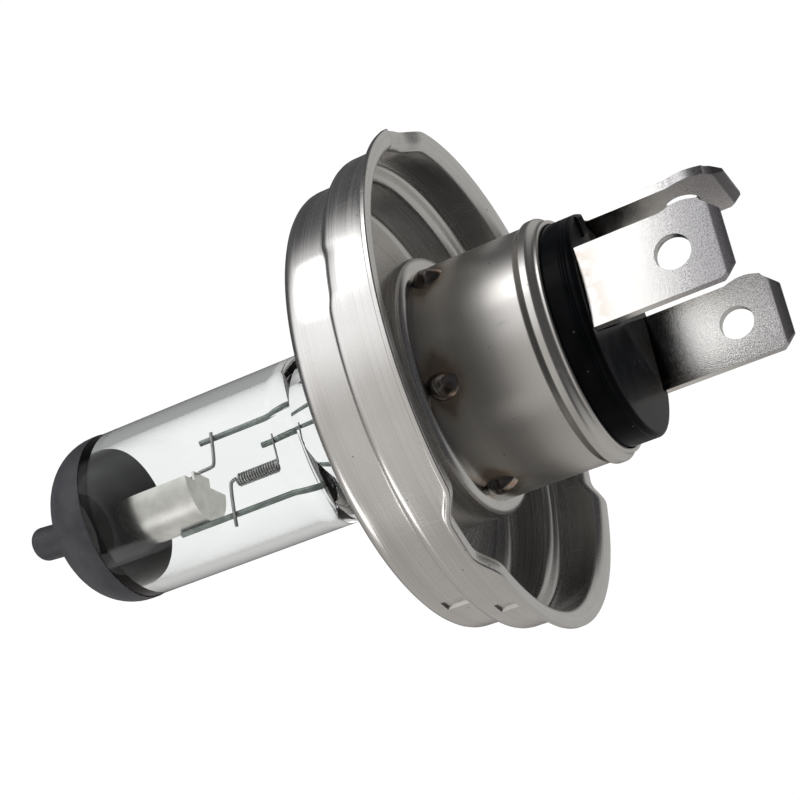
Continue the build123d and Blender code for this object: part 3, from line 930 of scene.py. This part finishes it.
def make_coating():
    """A skin of paint over the dome that runs out along the sealed exhaust tip."""
    skin, bite = COAT_T, COAT_BITE
    radius = GLASS_R + skin
    start = DOME_FRONT - skin
    tip_radius = TIP_R + skin
    tip_front = start - TIP_LENGTH - skin
    corners = [
        (0, tip_front), (tip_radius, tip_front, tip_radius * 0.6), (tip_radius, start, 0.7),
        (radius, start, DOME_ROUND + skin), (radius, COAT_EDGE, 0.03), (GLASS_R - bite, COAT_EDGE, 0.03),
        (GLASS_R - bite, DOME_FRONT + bite, DOME_ROUND - bite), (0, DOME_FRONT + bite),
    ]
    coating = lathe("dome_coating", rounded(corners, 16), closed=False, columns=192, sharp=60)
    edit(coating)
    root = start - 0.3
    levels = sorted({round(v.co.y / MM, 3) for v in coating.data.vertices if v.co.y / MM < root})
    for level in levels:
        pick(coating, lambda p: abs(p.y - level) < 0.001 and radius_of(p) < tip_radius + 1)
        lean = (root - level) * math.tan(math.radians(TIP_LEAN))
        bpy.ops.transform.translate(value=(0, 0, lean * MM))
    tidy_mesh(coating, 60)
    place(coating, PAINT, "antiglare_paint", "antiglare_coating")
    # The inner faces take the near-black copy of the paint as painted shade.
    coating.data.materials.append(PAINT_SHADED_INSIDE)
    for face in coating.data.polygons:
        outward = Vector((face.center.x, face.center.y - (DOME_FRONT + DOME_ROUND) * MM, face.center.z))
        face.material_index = int(face.normal.dot(outward) < 0)


def coil(name, span_y):
    """A wound filament along the axis, from a wire's round section."""
    start, end, height = span_y
    turns = round((end - start) / COIL_PITCH)
    deselect()
    bpy.ops.mesh.primitive_circle_add(vertices=10, radius=COIL_WIRE_R * MM, location=(COIL_R * MM, 0, 0))
    wound = bpy.context.object
    wound.name = wound.data.name = name
    settle(wound)
    apply(wound, "SCREW", axis="Y", angle=2 * math.pi * turns, screw_offset=(end - start) * MM,
          steps=28 * turns, render_steps=28 * turns, use_merge_vertices=False)
    wound.location = (0, start * MM, height * MM)
    settle(wound)
    edit(wound)
    bpy.ops.mesh.select_all(action="SELECT")
    bpy.ops.mesh.fill_holes(sides=0)
    return tidy_mesh(wound, 50)


def tube(name, points, radius, columns=12):
    """A bent wire through the points, as a curve made into a mesh."""
    curve = bpy.data.curves.new(name, "CURVE")
    curve.dimensions = "3D"
    curve.bevel_depth = radius * MM
    curve.bevel_resolution = columns // 4
    curve.use_fill_caps = True
    line = curve.splines.new("NURBS")
    line.points.add(len(points) - 1)
    for point, co in zip(line.points, points):
        point.co = (*(Vector(co) * MM), 1)
    line.order_u = 3
    line.use_endpoint_u = True
    line.resolution_u = 8
    wire = bpy.data.objects.new(name, curve)
    bpy.context.scene.collection.objects.link(wire)
    deselect()
    bpy.context.view_layer.objects.active = wire
    wire.select_set(True)
    bpy.ops.object.convert(target="MESH")
    bpy.ops.object.shade_smooth_by_angle(angle=math.radians(40))
    return bpy.context.object


def make_filaments():
    """Each filament: its coil and the tails that carry it on the wires."""
    front_y, rear_y, height = LOW_COIL
    side, beside = COIL_R, WIRE_R + TAIL_R
    low = join([
        coil("low_beam_coil", LOW_COIL),
        tube("low_rear_tail", [(side, rear_y, height), (side, rear_y + 0.5, height + 0.5),
                               (beside, LOW_TAIL_Y - 0.6, height + 0.55), (beside, LOW_TAIL_Y, height + 0.7),
                               (beside, LOW_TAIL_Y, LOW_WIRE_Z + TAIL_OVER)], TAIL_R),
        tube("low_front_tail", [(side, front_y, height), (side, front_y - 0.6, height),
                                (0, front_y - 1.6, -0.5), (0, SHIELD_FRONT + SHIELD_T, -0.5)], TAIL_R),
    ])
    place(low, TUNGSTEN, "tungsten", "low_beam_filament")
    front_y, rear_y, height = HIGH_COIL
    high = join([
        coil("high_beam_coil", HIGH_COIL),
        tube("high_rear_tail", [(side, rear_y, height), (side, rear_y + 0.3, height),
                                (beside, HIGH_TAIL_Y, height + 0.3),
                                (beside, HIGH_TAIL_Y, HIGH_WIRE_Z + TAIL_OVER)], TAIL_R),
        tube("high_front_tail", [(side, front_y, height), (side, front_y - 0.3, height),
                                 (beside, COMMON_TAIL_Y - 0.1, height - 0.3),
                                 (beside, COMMON_TAIL_Y - 0.1, COMMON_WIRE_Z - COMMON_TAIL_OVER)], TAIL_R),
    ])
    place(high, TUNGSTEN, "tungsten", "high_beam_filament")


def make_neck_welds():
    """Drops of weld metal that have run from the neck's rim onto the shell, one shape and five copies."""
    drop = ball("neck_weld", (SHELL_R + DROP_H - DROP_R, DROP_Y, 0), DROP_R, 40)
    edit(drop)
    pick(drop, lambda p: p.y > DROP_Y + DROP_R * 0.7)
    bpy.ops.transform.translate(value=(-0.3 * MM, 0.35 * MM, 0), use_proportional_edit=True,
                                proportional_edit_falloff="SMOOTH", proportional_size=1.6 * MM)
    pick(drop, lambda p: p.z > DROP_R * 0.75)
    bpy.ops.transform.translate(value=(-0.15 * MM, -0.1 * MM, -0.25 * MM), use_proportional_edit=True,
                                proportional_edit_falloff="SMOOTH", proportional_size=1.2 * MM)
    tidy_mesh(drop)
    drops = [drop] + [copy_of(drop, "neck_weld") for _ in DROP_ANGLES[1:]]
    for piece, angle in zip(drops, DROP_ANGLES):
        turn_about_axis(piece, angle)
    place(join(drops), WELD, "weld_metal", "neck_welds")


def make_world():
    """A white studio, whose reflections hold a dark side, a bright side and a warm grey floor."""
    world = bpy.data.worlds.new("studio")
    bpy.context.scene.world = world
    world.use_nodes = True
    tree = world.node_tree
    where = tree.nodes.new("ShaderNodeTexCoord")
    x, y, z = parts_of(tree, where.outputs["Generated"])
    above = mix(tree, span(tree, x, 0.1, 0.6), (0.06, 0.06, 0.063, 1), (1.12, 1.12, 1.13, 1))
    middle = mix(tree, span(tree, x, -0.9, 0.2), (0.40, 0.385, 0.37, 1), (0.37, 0.352, 0.34, 1))
    below = mix(tree, span(tree, x, 0.0, 0.8), middle, (0.56, 0.545, 0.53, 1))
    tone = mix(tree, span(tree, z, -0.25, 0.3), below, above)
    rear_wall = mix(tree, span(tree, x, -0.5, 0.1), (0.42, 0.415, 0.405, 1), (0.03, 0.03, 0.033, 1))
    tone = mix(tree, span(tree, y, -0.2, 0.1), tone, rear_wall)
    mirrored = tree.nodes["Background"]
    tree.links.new(tone, mirrored.inputs["Color"])
    backdrop = tree.nodes.new("ShaderNodeBackground")
    backdrop.inputs["Color"].default_value = (1, 1, 1, 1)
    backdrop.inputs["Strength"].default_value = 1.02
    rays = tree.nodes.new("ShaderNodeLightPath")
    bounced = math_node(tree, "ADD", rays.outputs["Glossy Depth"], rays.outputs["Diffuse Depth"])
    chosen = tree.nodes.new("ShaderNodeMixShader")
    through_glass = math_node(tree, "MULTIPLY", rays.outputs["Is Transmission Ray"], 0.35)
    reflected = math_node(tree, "GREATER_THAN", bounced, 0.5)
    share = math_node(tree, "SUBTRACT", reflected, through_glass, clamp=True)
    tree.links.new(share, chosen.inputs[0])
    tree.links.new(backdrop.outputs[0], chosen.inputs[1])
    tree.links.new(mirrored.outputs[0], chosen.inputs[2])
    tree.links.new(chosen.outputs[0], tree.nodes["World Output"].inputs[0])
    bpy.context.scene.view_settings.view_transform = "Standard"


def softbox(name, direction, distance, size, power):
    """A soft rectangular light that looks at the bulb from a direction."""
    light = bpy.data.lights.new(name, "AREA")
    light.shape = "RECTANGLE"
    light.size, light.size_y = size[0] * MM, size[1] * MM
    light.energy = power
    lamp = bpy.data.objects.new(name, light)
    bpy.context.scene.collection.objects.link(lamp)
    away = Vector(direction).normalized()
    lamp.location = away * distance * MM
    lamp.rotation_euler = away.to_track_quat("Z", "Y").to_euler()


def make_camera():
    """The camera stands in front of the right blade, a little below, and looks up at the bulb."""
    aim = Vector(CAMERA_AIM) * MM
    distance = CAMERA_DISTANCE * MM
    azimuth, elevation = math.radians(CAMERA_AZIMUTH), math.radians(CAMERA_ELEVATION)
    roll = math.radians(CAMERA_ROLL)
    back = Vector((math.cos(azimuth) * math.cos(elevation), math.sin(azimuth) * math.cos(elevation),
                   math.sin(elevation)))
    level = Vector((0, 0, 1)).cross(back).normalized()
    turn = Matrix.Rotation(roll, 3, back)
    right, up = turn @ level, turn @ back.cross(level)
    data = bpy.data.cameras.new("camera")
    data.lens = CAMERA_LENS
    data.sensor_width = 36
    data.clip_start = 0.01
    data.clip_end = 10
    camera = bpy.data.objects.new("camera", data)
    bpy.context.scene.collection.objects.link(camera)
    camera.matrix_world = Matrix((right, up, back)).transposed().to_4x4()
    camera.location = aim + back * distance
    bpy.context.scene.camera = camera


def make_floor():
    """A pale floor that the bulb stands over, seen only from above."""
    deselect()
    bpy.ops.mesh.primitive_plane_add(size=2.4, location=(0, 0, cad_box[0].z - 0.05 * MM))
    floor = bpy.context.object
    floor.name = floor.data.name = "floor"
    settle(floor)
    material, tree, shader = new_material("pale_floor")
    shader.inputs["Base Color"].default_value = (0.86, 0.86, 0.85, 1)
    shader.inputs["Roughness"].default_value = 0.7
    rays = tree.nodes.new("ShaderNodeLightPath")
    side = tree.nodes.new("ShaderNodeNewGeometry")
    shown = math_node(tree, "MULTIPLY", rays.outputs["Is Camera Ray"],
                      math_node(tree, "SUBTRACT", 1.0, side.outputs["Backfacing"]))
    clear = tree.nodes.new("ShaderNodeBsdfTransparent")
    chosen = tree.nodes.new("ShaderNodeMixShader")
    tree.links.new(shown, chosen.inputs[0])
    tree.links.new(clear.outputs[0], chosen.inputs[1])
    tree.links.new(shader.outputs[0], chosen.inputs[2])
    tree.links.new(chosen.outputs[0], tree.nodes["Material Output"].inputs[0])
    floor.data.materials.append(material)


def finish_cad_nodes():
    """The small pieces keep their own shapes and take better materials."""
    metals = {"low_beam_wire": WIRE_METAL, "high_beam_wire": WIRE_METAL, "common_wire": WIRE_METAL,
              "low_beam_foil": FOIL_METAL, "high_beam_foil": FOIL_METAL, "common_foil": FOIL_METAL,
              "low_beam_lead": LEAD_METAL, "high_beam_lead": LEAD_METAL, "common_lead": LEAD_METAL,
              "burner_clip": HOLDER_STEEL, "carrier_disc": HOLDER_STEEL, "lead_welds": WELD,
              "low_beam_shield": SHIELD_METAL}
    for node, metal in metals.items():
        frame["nodes"][node].data.materials[0] = metal


deselect()
make_flange()
make_shell()
make_blades()
make_insulator()
make_glass()
make_coating()
make_filaments()
make_neck_welds()
finish_cad_nodes()
make_floor()
make_world()
softbox("key_light", KEY_DIRECTION, LIGHT_DISTANCE, (120, 120), 0.06)
softbox("low_light", LOW_DIRECTION, LIGHT_DISTANCE, (90, 160), 0.08)
make_camera()
